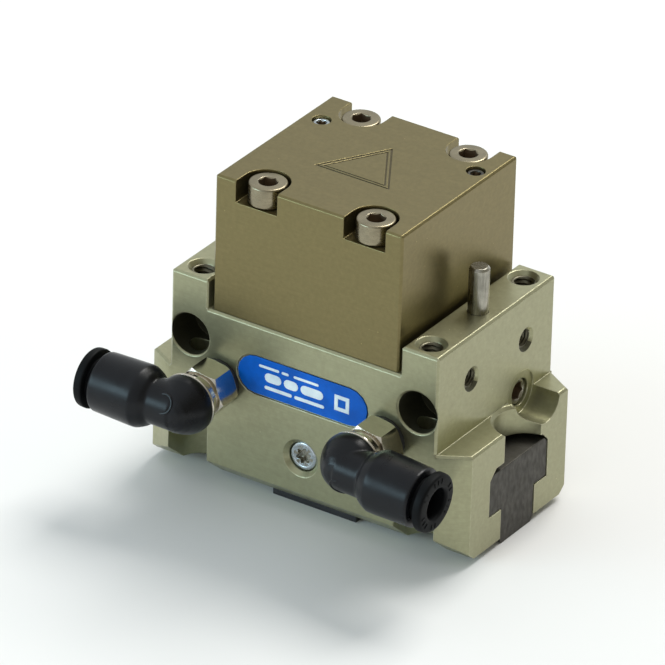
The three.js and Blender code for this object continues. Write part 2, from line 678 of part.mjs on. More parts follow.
// ---- push-in fittings ----
// Each is built with its swivel axis along Z, standing on z = 0 with the housing's face below it,
// and its arm along +X, then turned to stick out of the front.
const WASHER = 0.9;                 // thickness of the sealing washer
const HEX_BOTTOM = 1;
const HEX_TOP = 5.2;
const HEX_TURN = -0.16;
const RIM = 7.9;                    // where the plastic elbow starts
const HUB_R = 4.4;
const NECK_R = 3.4;
const ARM_ROOT_R = 4.6;            // the arm's body narrows towards its end
const ARM_END_R = 4.4;
const COLLAR_TRAVEL = 0.8;

function fittingStem() {
  const core = turned([
    [0, -4.4], [1.75, -4.4], [2.05, -4.1], [2.05, HEX_BOTTOM + 0.5], [3.3, HEX_BOTTOM + 0.5],
    [3.3, RIM - 1.1], [4.1, RIM - 0.8], [4.3, RIM - 0.6], [4.3, RIM - 0.1], [2.6, RIM - 0.1],
    [2.6, ARM_OUT - 0.3], [0, ARM_OUT - 0.3],
  ], 18);
  const hex = prism('z', hexagon(7, HEX_TURN), HEX_BOTTOM, HEX_TOP);
  return core.add(hex).subtract(rod('z', 0, 0, -6, ARM_OUT + 1, 1.2, 1.2, 8));
}

function sealingWasher() {
  return turned([[2.2, GAP], [3.4, GAP], [3.4, WASHER], [2.2, WASHER], [2.2, GAP]], 16);
}

function elbow(armLength) {
  const hub = turned([
    [0, RIM], [HUB_R, RIM], [HUB_R, RIM + 0.9], [HUB_R - 0.4, RIM + 1.8], [NECK_R - 0.1, RIM + 3.3],
    [NECK_R - 1, RIM + 4.4], [NECK_R - 2.2, RIM + 5.2], [0, RIM + 5.3],
  ], 20);
  const arm = solid(rodGeometry('x', 0, ARM_OUT, 0, 3.8, NECK_R, NECK_R, 18));
  const taper = solid(rodGeometry('x', 0, ARM_OUT, 3.8, 5.5, NECK_R, ARM_ROOT_R, 18));
  const sleeve = solid(rodGeometry('x', 0, ARM_OUT, 5.5, armLength, ARM_ROOT_R, ARM_END_R, 18));
  const tools = [
    rod('z', 0, 0, 0, RIM, HUB_R + 0.1, HUB_R + 0.1, 20),
    rod('z', 0, 0, RIM - 1, ARM_OUT, 2.75, 2.75, 14),
    rod('z', 0, 0, RIM + 0.4, RIM + 1.5, 3.6, 3.6, 14),
    rod('x', 0, ARM_OUT, 0, armLength + 1, 1.4, 1.4, 8),
    rod('x', 0, ARM_OUT, 5.2, armLength + 1, 2.3, 2.3, 16),
    rod('x', 0, ARM_OUT, armLength - 5.4, armLength + 1, 3.4, 3.4, 16),
  ];
  return cut(joined([hub, arm, taper, sleeve]), tools);
}

function releaseCollar(armLength) {
  const flangeFrom = armLength + COLLAR_TRAVEL + 0.1;
  const flange = rod('x', 0, ARM_OUT, flangeFrom, flangeFrom + 1.4, 4.4, 4.2, 18);
  const sleeve = rod('x', 0, ARM_OUT, armLength - 2.3, flangeFrom + 0.2, 3.2, 3.2, 16);
  return flange.add(sleeve).subtract(rod('x', 0, ARM_OUT, 0, armLength + 9, 2.3, 2.3, 16));
}

function armRing(profile, sides = 14) {
  const geometry = new THREE.LatheGeometry(profile.map(([r, h]) => new THREE.Vector2(r, h)), sides);
  return solid(geometry.rotateZ(-Math.PI / 2).translate(0, 0, ARM_OUT));
}

function gripRing(armLength) {
  const at = armLength - 3.9;
  return armRing([[2.35, at], [3.3, at + 0.1], [3.3, at + 0.5], [2.35, at + 0.4], [2.35, at]]);
}

function tubeSeal(armLength) {
  const geometry = new THREE.TorusGeometry(2.85, 0.45, 6, 16);
  return solid(geometry.rotateY(Math.PI / 2).translate(armLength - 4.75, 0, ARM_OUT));
}

['left', 'right'].forEach((side, index) => {
  const fitting = new THREE.Group();
  fitting.position.set(PORT_X[index], -HALF_DEPTH, PORT_Z);
  fitting.rotation.x = Math.PI / 2;
  const swivel = new THREE.Group();
  const drop = THREE.MathUtils.degToRad(ARM_SPIN[index]);
  swivel.rotation.z = index === 0 ? Math.PI + drop : -drop;
  fitting.add(swivel);
  gripper.add(fitting);
  place(`fitting_stem_${side}`, fittingStem(), nickel, fitting);
  place(`fitting_washer_${side}`, sealingWasher(), rubber, fitting);
  place(`swivel_seal_${side}`, ring(3.15, 0.4), rubber, fitting).position.z = RIM + 0.95;
  place(`elbow_${side}`, elbow(ARM_LENGTH), blackPlastic, swivel);
  place(`release_collar_${side}`, releaseCollar(ARM_LENGTH), blackPlastic, swivel);
  place(`grip_ring_${side}`, gripRing(ARM_LENGTH), steel, swivel);
  place(`tube_seal_${side}`, tubeSeal(ARM_LENGTH), rubber, swivel);
});

export default gripper;
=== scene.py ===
"""Looks of the pneumatic gripper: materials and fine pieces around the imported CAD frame.

Fine pieces are drawn in millimetres in a local frame, then turned, moved and scaled to metres.
"""
import json
import math

import bmesh
import bpy
from mathutils import Matrix, Vector


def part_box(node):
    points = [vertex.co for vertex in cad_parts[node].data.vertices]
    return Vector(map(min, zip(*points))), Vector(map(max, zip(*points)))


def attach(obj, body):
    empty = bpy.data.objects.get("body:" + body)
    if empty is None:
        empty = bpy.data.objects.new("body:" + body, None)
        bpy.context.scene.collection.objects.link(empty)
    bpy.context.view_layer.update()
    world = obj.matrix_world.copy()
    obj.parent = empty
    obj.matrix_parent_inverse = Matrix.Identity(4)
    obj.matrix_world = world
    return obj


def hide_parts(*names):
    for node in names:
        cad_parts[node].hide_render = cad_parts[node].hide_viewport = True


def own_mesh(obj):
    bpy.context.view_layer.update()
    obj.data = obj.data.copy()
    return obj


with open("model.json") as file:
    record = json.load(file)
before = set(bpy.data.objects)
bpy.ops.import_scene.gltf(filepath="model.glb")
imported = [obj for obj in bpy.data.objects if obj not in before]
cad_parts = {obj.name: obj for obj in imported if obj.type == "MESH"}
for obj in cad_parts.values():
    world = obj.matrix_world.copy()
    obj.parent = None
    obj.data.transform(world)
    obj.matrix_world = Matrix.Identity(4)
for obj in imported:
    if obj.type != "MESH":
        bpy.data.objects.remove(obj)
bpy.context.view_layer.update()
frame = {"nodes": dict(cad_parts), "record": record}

MM = 0.001
RECORD = frame["record"]
JOINTS = {joint["name"]: joint for joint in RECORD["behaviour"]["joints"]}

# ---- camera ----
CAMERA_AIM = (-8.140, 5.059, 18.348)  # mm, a point inside the body
CAMERA_DISTANCE = 1362.0             # mm
CAMERA_YAW = math.radians(32.71)
CAMERA_ELEVATION = math.radians(29.01)
CAMERA_ROLL = math.radians(1.68)
CAMERA_LENS = 521.92                  # mm, on a 36 mm sensor


def add_camera():
    yaw, tilt = CAMERA_YAW, CAMERA_ELEVATION
    back = Vector((math.sin(yaw) * math.cos(tilt), -math.cos(yaw) * math.cos(tilt), math.sin(tilt)))
    level = Vector((math.cos(yaw), math.sin(yaw), 0.0))
    upright = back.cross(level)
    right = level * math.cos(CAMERA_ROLL) + upright * math.sin(CAMERA_ROLL)
    up = back.cross(right)
    data = bpy.data.cameras.new("camera")
    data.lens = CAMERA_LENS
    data.sensor_width = 36.0
    camera = bpy.data.objects.new("camera", data)
    bpy.context.collection.objects.link(camera)
    turn = Matrix((right, up, back)).transposed().to_4x4()
    place = (Vector(CAMERA_AIM) + back * CAMERA_DISTANCE) * MM
    camera.matrix_world = Matrix.Translation(place) @ turn
    bpy.context.scene.camera = camera


add_camera()


# ---- places taken from the frame, in millimetres ----
def corners(node):
    low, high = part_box(node)
    return Vector(low) / MM, Vector(high) / MM


def centre(node):
    low, high = corners(node)
    return (low + high) / 2


HOUSING_LOW, HOUSING_HIGH = corners("housing")
FRONT = HOUSING_LOW.y
HORN_TOP = HOUSING_HIGH.z
BLOCK_TOP = corners("spring_housing")[1].z
SIDES = ("left", "right")


# ---- node materials ----
class Nodes:
    """A short way to write a material's node tree."""

    def __init__(self, name):
        self.material = bpy.data.materials.new(name)
        self.material.use_nodes = True
        self.tree = self.material.node_tree
        self.shader = self.tree.nodes["Principled BSDF"]
        self.place = self.add("ShaderNodeTexCoord").outputs["Object"]

    def add(self, kind, **settings):
        node = self.tree.nodes.new(kind)
        for key, value in settings.items():
            setattr(node, key, value)
        return node

    def link(self, source, target):
        self.tree.links.new(source, target)
        return target.node

    def stretched(self, scale):
        mapping = self.add("ShaderNodeMapping")
        mapping.inputs["Scale"].default_value = scale
        self.link(self.place, mapping.inputs["Vector"])
        return mapping.outputs["Vector"]

    def noise(self, scale, detail=3.0, stretch=None, roughness=0.55):
        node = self.add("ShaderNodeTexNoise")
        node.inputs["Scale"].default_value = scale
        node.inputs["Detail"].default_value = detail
        node.inputs["Roughness"].default_value = roughness
        self.link(self.stretched(stretch) if stretch else self.place, node.inputs["Vector"])
        return node.outputs["Fac"]

    def spots(self, scale, stretch=None):
        node = self.add("ShaderNodeTexVoronoi")
        node.inputs["Scale"].default_value = scale
        self.link(self.stretched(stretch) if stretch else self.place, node.inputs["Vector"])
        return node.outputs["Distance"]

    def ramp(self, value, low, high, out_low=0.0, out_high=1.0):
        node = self.add("ShaderNodeMapRange")
        node.inputs["From Min"].default_value = low
        node.inputs["From Max"].default_value = high
        node.inputs["To Min"].default_value = out_low
        node.inputs["To Max"].default_value = out_high
        self.link(value, node.inputs["Value"])
        return node.outputs["Result"]

    def math(self, operation, a, b):
        node = self.add("ShaderNodeMath", operation=operation)
        for socket, value in zip(node.inputs, (a, b)):
            if isinstance(value, (int, float)):
                socket.default_value = value
            else:
                self.link(value, socket)
        return node.outputs["Value"]

    def mix(self, factor, first, second):
        node = self.add("ShaderNodeMix", data_type="RGBA")
        self.link(factor, node.inputs["Factor"])
        for socket, value in ((node.inputs[6], first), (node.inputs[7], second)):
            if isinstance(value, tuple):
                socket.default_value = (*value, 1.0)
            else:
                self.link(value, socket)
        return node.outputs[2]

    def edges(self, radius, low=0.02, high=0.16):
        """1 on rounded-off edges and 0 on flats, from how far a small bevel turns the normal."""
        bevel = self.add("ShaderNodeBevel", samples=6)
        bevel.inputs["Radius"].default_value = radius
        true_normal = self.add("ShaderNodeNewGeometry").outputs["Normal"]
        dot = self.add("ShaderNodeVectorMath", operation="DOT_PRODUCT")
        self.link(bevel.outputs["Normal"], dot.inputs[0])
        self.link(true_normal, dot.inputs[1])
        turned = self.math("SUBTRACT", 1.0, dot.outputs["Value"])
        return self.ramp(turned, low, high), bevel.outputs["Normal"]

    def bump(self, height, distance, strength=0.4, normal=None):
        node = self.add("ShaderNodeBump")
        node.inputs["Distance"].default_value = distance
        node.inputs["Strength"].default_value = strength
        self.link(height, node.inputs["Height"])
        if normal is not None:
            self.link(normal, node.inputs["Normal"])
        self.link(node.outputs["Normal"], self.shader.inputs["Normal"])

    def finish(self, colour, roughness, **fixed):
        for socket, value in (("Base Color", colour), ("Roughness", roughness)):
            if isinstance(value, tuple):
                self.shader.inputs[socket].default_value = (*value, 1.0)
            elif isinstance(value, (int, float)):
                self.shader.inputs[socket].default_value = value
            else:
                self.link(value, self.shader.inputs[socket])
        for socket, value in fixed.items():
            self.shader.inputs[socket.replace("_", " ")].default_value = value
        return self.material


def anodised(name, colour, edge_wear_and_highlight, metallic, roughness, edge_radius, speck_size):
    """Matt anodised aluminium: clouded colour, fine machining lines, pale edges that are partly wear and
    partly painted highlight, dust specks.
    """
    n = Nodes(name)
    clouded = n.mix(n.ramp(n.noise(1500, 5), 0.3, 0.7), shade(colour, 0.92), shade(colour, 1.08))
    lines = n.noise(900, 2, stretch=(0.25, 1.0, 6.0))
    lined = n.mix(n.ramp(lines, 0.35, 0.65, 0.0, 0.35), clouded, shade(colour, 0.86))
    edge, rounded = n.edges(edge_radius)
    # Edges lightened in patches: partly wear, partly painted edge highlight.
    patchy_wear_and_highlight = n.math("MULTIPLY", edge, n.ramp(n.noise(900, 3), 0.35, 0.62, 0.15, 1.0))
    with_edge_wear_and_highlight = n.mix(patchy_wear_and_highlight, lined, edge_wear_and_highlight)
    specks = n.ramp(n.spots(speck_size), 0.06, 0.04)
    rare = n.math("MULTIPLY", specks, n.ramp(n.noise(260, 1), 0.60, 0.64))
    final = n.mix(rare, with_edge_wear_and_highlight, shade(colour, 2.2))
    grain = n.noise(5200, 2)
    relief = n.math("ADD", n.math("MULTIPLY", grain, 0.6), n.math("MULTIPLY", lines, 0.4))
    n.bump(relief, 0.00001, 0.35, rounded)
    rough = n.ramp(n.noise(2600, 4), 0.3, 0.7, roughness - 0.03, roughness + 0.05)
    return n.finish(final, rough, Metallic=metallic)


def machined(name, colour, roughness, line_stretch, variation=0.25, metallic=1.0, edge_wear_and_highlight=None, stains=420):
    """Bare or plated metal with drawn or turned lines and stains."""
    n = Nodes(name)
    lines = n.noise(700, 4, stretch=line_stretch)
    stained = n.mix(n.ramp(n.noise(stains, 4), 0.35, 0.75), colour, shade(colour, 1 - variation))
    lined = n.mix(n.ramp(lines, 0.4, 0.7, 0.0, 0.6), stained, shade(colour, 1 - variation))
    edge, rounded = n.edges(0.00012)
    # Every edge is lightened towards the edge colour: partly wear, partly painted edge highlight.
    final = n.mix(edge, lined, edge_wear_and_highlight or shade(colour, 1.3))
    n.bump(lines, 0.000006, 0.3, rounded)
    rough = n.ramp(lines, 0.3, 0.7, roughness * 0.8, roughness * 1.35)
    return n.finish(final, rough, Metallic=metallic)


def moulded(name, colour, roughness, grain=0.25, specular=0.5):
    """Moulded plastic or rubber: fine grain, handling marks, and edges lightened a little as slight
    polish and painted highlight.
    """
    n = Nodes(name)
    marks = n.noise(300, 5, stretch=(1.0, 0.4, 1.0))
    tone = n.mix(n.ramp(marks, 0.35, 0.75), colour, shade(colour, 1.5))
    scratches = n.ramp(n.noise(800, 6, stretch=(0.3, 1.0, 4.0)), 0.66, 0.72, 0.0, 0.5)
    scuffed = n.mix(scratches, tone, shade(colour, 4.0))
    edge, rounded = n.edges(0.00015)
    # Edges lightened a little: partly polish, partly painted edge highlight.
    final = n.mix(n.math("MULTIPLY", edge, 0.3), scuffed, shade(colour, 3.0))
    n.bump(n.noise(4200, 3), 0.000012, grain, rounded)
    rough = n.ramp(marks, 0.3, 0.7, roughness - 0.06, roughness + 0.08)
    return n.finish(final, rough, Metallic=0.0, Specular_IOR_Level=specular)


def shade(colour, factor):
    return tuple(min(1.0, c * factor) for c in colour)


# The edge colours below lighten edges: partly wear, partly painted highlight.
HOUSING_COLOUR = (0.365, 0.358, 0.225)
HOUSING_EDGE_WEAR_AND_HIGHLIGHT = (0.66, 0.64, 0.48)
OLIVE_COLOUR = (0.215, 0.178, 0.082)
OLIVE_EDGE_WEAR_AND_HIGHLIGHT = (0.27, 0.23, 0.12)
DARK_STEEL_EDGE_WEAR_AND_HIGHLIGHT = (0.20, 0.19, 0.17)
TURNED = (1.0, 1.0, 5.0)
EVEN = (1.0, 1.0, 1.0)


def make_materials():
    made = [
        anodised("housing_anodised", HOUSING_COLOUR, HOUSING_EDGE_WEAR_AND_HIGHLIGHT, 0.85, 0.34, 0.00020, 900),
        anodised("olive_anodised", OLIVE_COLOUR, OLIVE_EDGE_WEAR_AND_HIGHLIGHT, 0.93, 0.31, 0.00016, 700),
        machined("bright_screw", (0.34, 0.295, 0.20), 0.27, TURNED, 0.3, edge_wear_and_highlight=(0.62, 0.56, 0.43)),
        # Painted shade: the darker, browner finish put inside screw drives.
        machined("socket", (0.26, 0.19, 0.12), 0.42, EVEN, 0.5, 0.8),
        machined("dark_screw", (0.10, 0.095, 0.085), 0.38, EVEN),
        moulded("black_cover", (0.016, 0.016, 0.018), 0.45),
        machined("steel", (0.47, 0.45, 0.38), 0.27, (7.0, 7.0, 0.35), 0.6),
        moulded("blue_foil", (0.001, 0.090, 0.440), 0.38, 0.1, 0.18),
        moulded("white_print", (0.62, 0.72, 0.80), 0.45, 0.1),
        machined("zinc", (0.62, 0.68, 0.72), 0.24, EVEN, 0.45, stains=900),
        moulded("rubber", (0.018, 0.018, 0.018), 0.65, 0.5),
        machined("dark_steel", (0.085, 0.080, 0.070), 0.46, (0.6, 2.0, 1.0), 0.35, 0.8, DARK_STEEL_EDGE_WEAR_AND_HIGHLIGHT),
        machined("piston_aluminium", (0.60, 0.60, 0.58), 0.32, TURNED),
        machined("nickel", (0.66, 0.61, 0.52), 0.15, (1.0, 4.0, 1.0), 0.15),
        moulded("black_plastic", (0.0045, 0.005, 0.0065), 0.30, 0.2, 0.25),
        moulded("collar_plastic", (0.0035, 0.004, 0.0045), 0.52, 0.3, 0.09),
        machined("thread", (0.15, 0.14, 0.10), 0.34, EVEN, 0.4),
        # Painted shade: a dark finish for the counterbore walls.
        anodised("bore_painted_shade", (0.085, 0.082, 0.052), HOUSING_COLOUR, 0.7, 0.5, 0.00010, 900),
        anodised("engraved", (0.085, 0.070, 0.035), OLIVE_COLOUR, 0.5, 0.6, 0.00004, 900),
    ]
    return {material.name.split(".")[0]: material for material in made}


MATERIALS = make_materials()
SLOT_OF = {row["node"]: row["material_slot"] for row in RECORD["subparts"]}
BODY_OF = {node: body for body, nodes in RECORD["behaviour"]["bodies"].items() for node in nodes}
SMOOTH_BELOW = math.radians(32)


# ---- mesh building ----
def new_object(name, bm):
    bmesh.ops.recalc_face_normals(bm, faces=bm.faces)
    mesh = bpy.data.meshes.new(name)
    bm.to_mesh(mesh)
    bm.free()
    piece = bpy.data.objects.new(name, mesh)
    bpy.context.collection.objects.link(piece)
    return piece


def lathe(name, profile, segments=64):
    """Turns (radius, height) points round local Z. A point at radius 0 closes the end."""
    bm = bmesh.new()
    rings = []
    for radius, height in profile:
        if radius < 1e-6:
            rings.append([bm.verts.new((0.0, 0.0, height))])
            continue
        angles = [2 * math.pi * i / segments for i in range(segments)]
        rings.append([bm.verts.new((radius * math.cos(a), radius * math.sin(a), height)) for a in angles])
    for lower, upper in zip(rings, rings[1:]):
        for i in range(segments):
            j = (i + 1) % segments
            ring = [lower[i % len(lower)], lower[j % len(lower)]]
            ring += [upper[j % len(upper)], upper[i % len(upper)]]
            corners_of_face = list(dict.fromkeys(ring))
            if len(corners_of_face) > 2:
                bm.faces.new(corners_of_face)
    if len(rings[0]) > 1 and profile[0] == profile[-1]:
        bmesh.ops.remove_doubles(bm, verts=bm.verts, dist=1e-5)
    return new_object(name, bm)


def plain_rod(name, radius, low, high, segments):
    """A cylinder on local Z, for joining or for cutting a bore."""
    return lathe(name, [(0, low), (radius, low), (radius, high), (0, high)], segments)


def arc(centre_radius, centre_height, radius, start, end, steps=6):
    """Points of a rounded corner in a lathe profile, between two angles in degrees."""
    angles = [math.radians(start + (end - start) * i / steps) for i in range(steps + 1)]
    return [(centre_radius + radius * math.cos(a), centre_height + radius * math.sin(a)) for a in angles]


def prism(name, outline, low, high):
    """An outline of (x, y) points pushed along local Z."""
    bm = bmesh.new()
    bottom = [bm.verts.new((x, y, low)) for x, y in outline]
    top = [bm.verts.new((x, y, high)) for x, y in outline]
    bm.faces.new(bottom[::-1])
    bm.faces.new(top)
    for i in range(len(outline)):
        j = (i + 1) % len(outline)
        bm.faces.new((bottom[i], bottom[j], top[j], top[i]))
    return new_object(name, bm)


def polygon(count, radius, turn=0.0):
    angles = [turn + 2 * math.pi * i / count for i in range(count)]
    return [(radius * math.cos(angle), radius * math.sin(angle)) for angle in angles]


def hexagon(across_flats, turn=0.0):
    return polygon(6, across_flats / math.sqrt(3), turn)


def applied(piece):
    graph = bpy.context.evaluated_depsgraph_get()
    mesh = bpy.data.meshes.new_from_object(piece.evaluated_get(graph))
    piece.modifiers.clear()
    piece.data = mesh
    return piece


def combine(piece, other, operation):
    modifier = piece.modifiers.new("boolean", "BOOLEAN")
    modifier.operation = operation
    modifier.solver = "EXACT"
    modifier.object = other
    applied(piece)
    bpy.data.objects.remove(other)
    return piece


def cut(piece, *tools):
    for tool in tools:
        combine(piece, tool, "DIFFERENCE")
    return piece


def join(piece, *others):
    for other in others:
        combine(piece, other, "UNION")
    return piece


def turned_mesh(piece, matrix):
    piece.data.transform(matrix)
    return piece


def along_x(piece, height=0.0):
    """Lays a piece drawn along local Z down along +X, at a height."""
    return turned_mesh(piece, Matrix.Translation((0, 0, height)) @ Matrix.Rotation(math.pi / 2, 4, "Y"))


def settle(piece, matrix, material, body, stands_for=(), smooth=SMOOTH_BELOW):
    """Moves a finished piece from its local millimetres into the row frame and gives it its looks."""
    piece.data.transform(Matrix.Scale(MM, 4) @ matrix)
    if matrix.determinant() < 0:
        piece.data.flip_normals()
    if not piece.data.materials:
        piece.data.materials.append(MATERIALS[material])
    else:
        piece.data.materials[0] = MATERIALS[material]
    piece.data.polygons.foreach_set("use_smooth", [True] * len(piece.data.polygons))
    piece.data.set_sharp_from_angle(angle=smooth)
    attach(piece, body)
    for node in stands_for:
        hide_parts(node)
    return piece


def standing(x, y, z, turn=0.0):
    return Matrix.Translation((x, y, z)) @ Matrix.Rotation(turn, 4, "Z")


def out_of_front(x, y, z):
    """Turns local Z to point out of the front."""
    return Matrix.Translation((x, y, z)) @ Matrix.Rotation(math.pi / 2, 4, "X")


def out_of_right(x, y, z):
    """Turns local Z to point out of the right end."""
    return Matrix.Translation((x, y, z)) @ Matrix.Rotation(math.pi / 2, 4, "Y")


# ---- finer copies of the CAD's machined pieces ----
FINE_BEVEL = {
    "housing": 0.10,
    "spring_housing": 0.12,
    "jaw_left": 0.10,
    "jaw_right": 0.10,
    "bottom_cover": 0.08,
}
FLAT_WITHIN = math.radians(0.6)
WELD_DISTANCE = 2e-6  # metres


def fine_copy(node):
    """The same solid with welded corners, smooth round walls and, where named above, broken edges."""
    body = BODY_OF[node]
    bm = bmesh.new()
    bm.from_mesh(frame["nodes"][node].data)
    bmesh.ops.remove_doubles(bm, verts=bm.verts, dist=WELD_DISTANCE)
    bmesh.ops.dissolve_limit(bm, angle_limit=FLAT_WITHIN, verts=bm.verts, edges=bm.edges)
    bmesh.ops.scale(bm, vec=(1 / MM, 1 / MM, 1 / MM), verts=bm.verts)
    piece = new_object(f"{node}_surface", bm)
    if node in FINE_BEVEL:
        bevel = piece.modifiers.new("bevel", "BEVEL")
        bevel.width = FINE_BEVEL[node]
        bevel.segments = 2
        bevel.limit_method = "ANGLE"
        bevel.angle_limit = SMOOTH_BELOW
        bevel.use_clamp_overlap = True
        applied(piece)
    settle(piece, Matrix.Identity(4), SLOT_OF[node], body, [node])
    if node in FINE_BEVEL:
        level = piece.modifiers.new("level_flats", "WEIGHTED_NORMAL")
        level.keep_sharp = True
    return piece


def darken(piece, material, inside):
    """Puts a second material on the faces whose middle, in millimetres, lies inside a region."""
    piece.data.materials.append(MATERIALS[material])
    for face in piece.data.polygons:
        if inside(face.center / MM):
            face.material_index = len(piece.data.materials) - 1


COUNTERBORE_X = 19.0
COUNTERBORE_Z = 23.5
COUNTERBORE_R = 3.2
MOUTH_DEPTH = 0.5       # the part of a counterbore that keeps the outer finish
ENGRAVING_DEPTH = 0.15
ENGRAVING_REACH = 9     # the engraving lies within this of the block's middle


def in_counterbore(point):
    near = math.hypot(abs(point.x) - COUNTERBORE_X, point.z - COUNTERBORE_Z) < COUNTERBORE_R + 0.05
    return near and FRONT + MOUTH_DEPTH < point.y


def in_engraving(point):
    sunk = BLOCK_TOP - ENGRAVING_DEPTH - 0.01 < point.z < BLOCK_TOP - 0.03
    return sunk and max(abs(point.x), abs(point.y)) < ENGRAVING_REACH


def let_spring_close(piece):
    """Gives the spring's surface a mesh of its own."""
    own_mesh(piece)


OWN_PIECES = ["purge_screw", "side_port_plug", "top_set_screw_left", "top_set_screw_right"]
OWN_PIECES += [f"spring_housing_screw_{number}" for number in range(1, 5)]
for side in SIDES:
    OWN_PIECES += [f"fitting_stem_{side}", f"elbow_{side}", f"release_collar_{side}"]

for cad_node in frame["nodes"]:
    if cad_node not in OWN_PIECES:
        surface = fine_copy(cad_node)
        if cad_node == "housing":
            # Painted shade on the counterbore walls below their mouths.
            darken(surface, "bore_painted_shade", in_counterbore)
        if cad_node == "spring_housing":
            darken(surface, "engraved", in_engraving)
        if cad_node == "closing_spring":
            let_spring_close(surface)


# ---- cap screws ----
HEAD_HEIGHT = 3.1
SHANK_R = 1.4
HEAD_HEXAGON = 2.5
HEAD_SOCKET_DEPTH = 1.7
DRIVE_DEPTH = 1.9  # no drive goes deeper than this


def darken_socket(piece, radius, top, plain="bright_screw", inside="socket"):
    """Gives the faces inside a screw's drive a second, darker finish: painted shade inside the drive."""
    piece.data.materials.append(MATERIALS[plain])
    piece.data.materials.append(MATERIALS[inside])
    for face in piece.data.polygons:
        middle = face.center
        if math.hypot(middle.x, middle.y) < radius and top - DRIVE_DEPTH < middle.z < top - 0.03:
            face.material_index = 1


def cap_screw(name, node, turn):
    low, high = corners(node)
    place = centre(node)
    radius = (high.x - low.x) / 2
    seat = high.z - HEAD_HEIGHT
    length = seat - low.z
    rim = arc(radius - 0.3, HEAD_HEIGHT - 0.3, 0.3, 0, 90)
    profile = [(0, -length), (SHANK_R - 0.3, -length), (SHANK_R, 0.3 - length), (SHANK_R, 0)]
    profile += [(radius - 0.15, 0), (radius, 0.15)]
    head = lathe(name, profile + rim + [(0, HEAD_HEIGHT)], 72)
    socket = prism("socket_cut", hexagon(HEAD_HEXAGON), HEAD_HEIGHT - HEAD_SOCKET_DEPTH, HEAD_HEIGHT + 1)
    mouth_profile = [(0, HEAD_HEIGHT - 0.35), (1.15, HEAD_HEIGHT - 0.3), (1.52, HEAD_HEIGHT + 0.07)]
    mouth = lathe("mouth_cut", mouth_profile + [(1.52, HEAD_HEIGHT + 1), (0, HEAD_HEIGHT + 1)], 48)
    cut(head, socket, mouth)
    darken_socket(head, 1.42, HEAD_HEIGHT - 0.25)
    upright = standing(place.x, place.y, seat, turn)
    settle(head, upright, "bright_screw", "housing", [node])


for number in range(1, 5):
    cap_screw(f"cap_screw_{number}", f"spring_housing_screw_{number}", 0.35 * number)


# ---- small screws ----
def set_screw(name, node, radius, length, socket, place, material):
    """A headless screw with chamfered ends and a hexagon socket, its face at local z = 0."""
    profile = [(0, -length), (radius - 0.35, -length), (radius, 0.35 - length)]
    profile += [(radius, -0.22), (radius - 0.22, 0), (0, 0)]
    body = lathe(name, profile, 48)
    rim = socket * 0.62
    mouth = lathe("mouth_cut", [(0, -0.3), (socket * 0.5, -0.25), (rim, 0.02), (rim, 1), (0, 1)], 32)
    cut(body, prism("socket_cut", hexagon(socket, 0.3), -1.6, 1), mouth)
    darken_socket(body, socket * 0.56, -0.1, material, "socket")
    settle(body, place, material, "housing", [node])


for side, material in zip(SIDES, ("zinc", "dark_screw")):
    screw_node = f"top_set_screw_{side}"
    screw_top = corners(screw_node)[1].z
    screw_middle = centre(screw_node)
    upright = standing(screw_middle.x, screw_middle.y, screw_top)
    set_screw(f"set_screw_{side}", screw_node, 1.33, 3.8, 1.3, upright, material)

plug_middle = centre("side_port_plug")
plug_face = corners("side_port_plug")[1].x
plug_place = out_of_right(plug_face, plug_middle.y, plug_middle.z)
set_screw("side_plug", "side_port_plug", 2.02, 4.2, 2.5, plug_place, "steel")


def star_outline(radius, lobes=6, points=72):
    """A circle whose radius swells and shrinks, as a six-lobed drive's does."""
    outline = []
    for i in range(points):
        angle = 2 * math.pi * i / points
        reach = radius * (0.82 + 0.18 * math.cos(lobes * angle))
        outline.append((reach * math.cos(angle), reach * math.sin(angle)))
    return outline


def purge_screw():
    """Low-headed star-drive screw that closes the port between the jaws, drawn with its face at z = 0."""
    low, high = corners("purge_screw")
    middle = centre("purge_screw")
    radius = (high.x - low.x) / 2
    profile = [(0, -5.8), (1.0, -5.8), (1.3, -5.5), (1.3, -1.2), (radius - 0.1, -1.2), (radius, -1.1)]
    profile += arc(radius - 0.3, -0.3, 0.3, 0, 90, 5)
    profile += [(radius - 0.55, 0.0), (radius - 0.6, -0.05), (0, -0.05)]
    head = lathe("bleed_screw", profile, 72)
    cut(head, prism("star_cut", star_outline(1.32), -0.85, 1))
    # Painted shade: the darker steel finish inside the star drive.
    darken_socket(head, 1.25, -0.02, "zinc", "steel")
    place = out_of_front(middle.x, low.y, middle.z) @ Matrix.Rotation(0.35, 4, "Z")
    settle(head, place, "zinc", "housing", ["purge_screw"])


purge_screw()


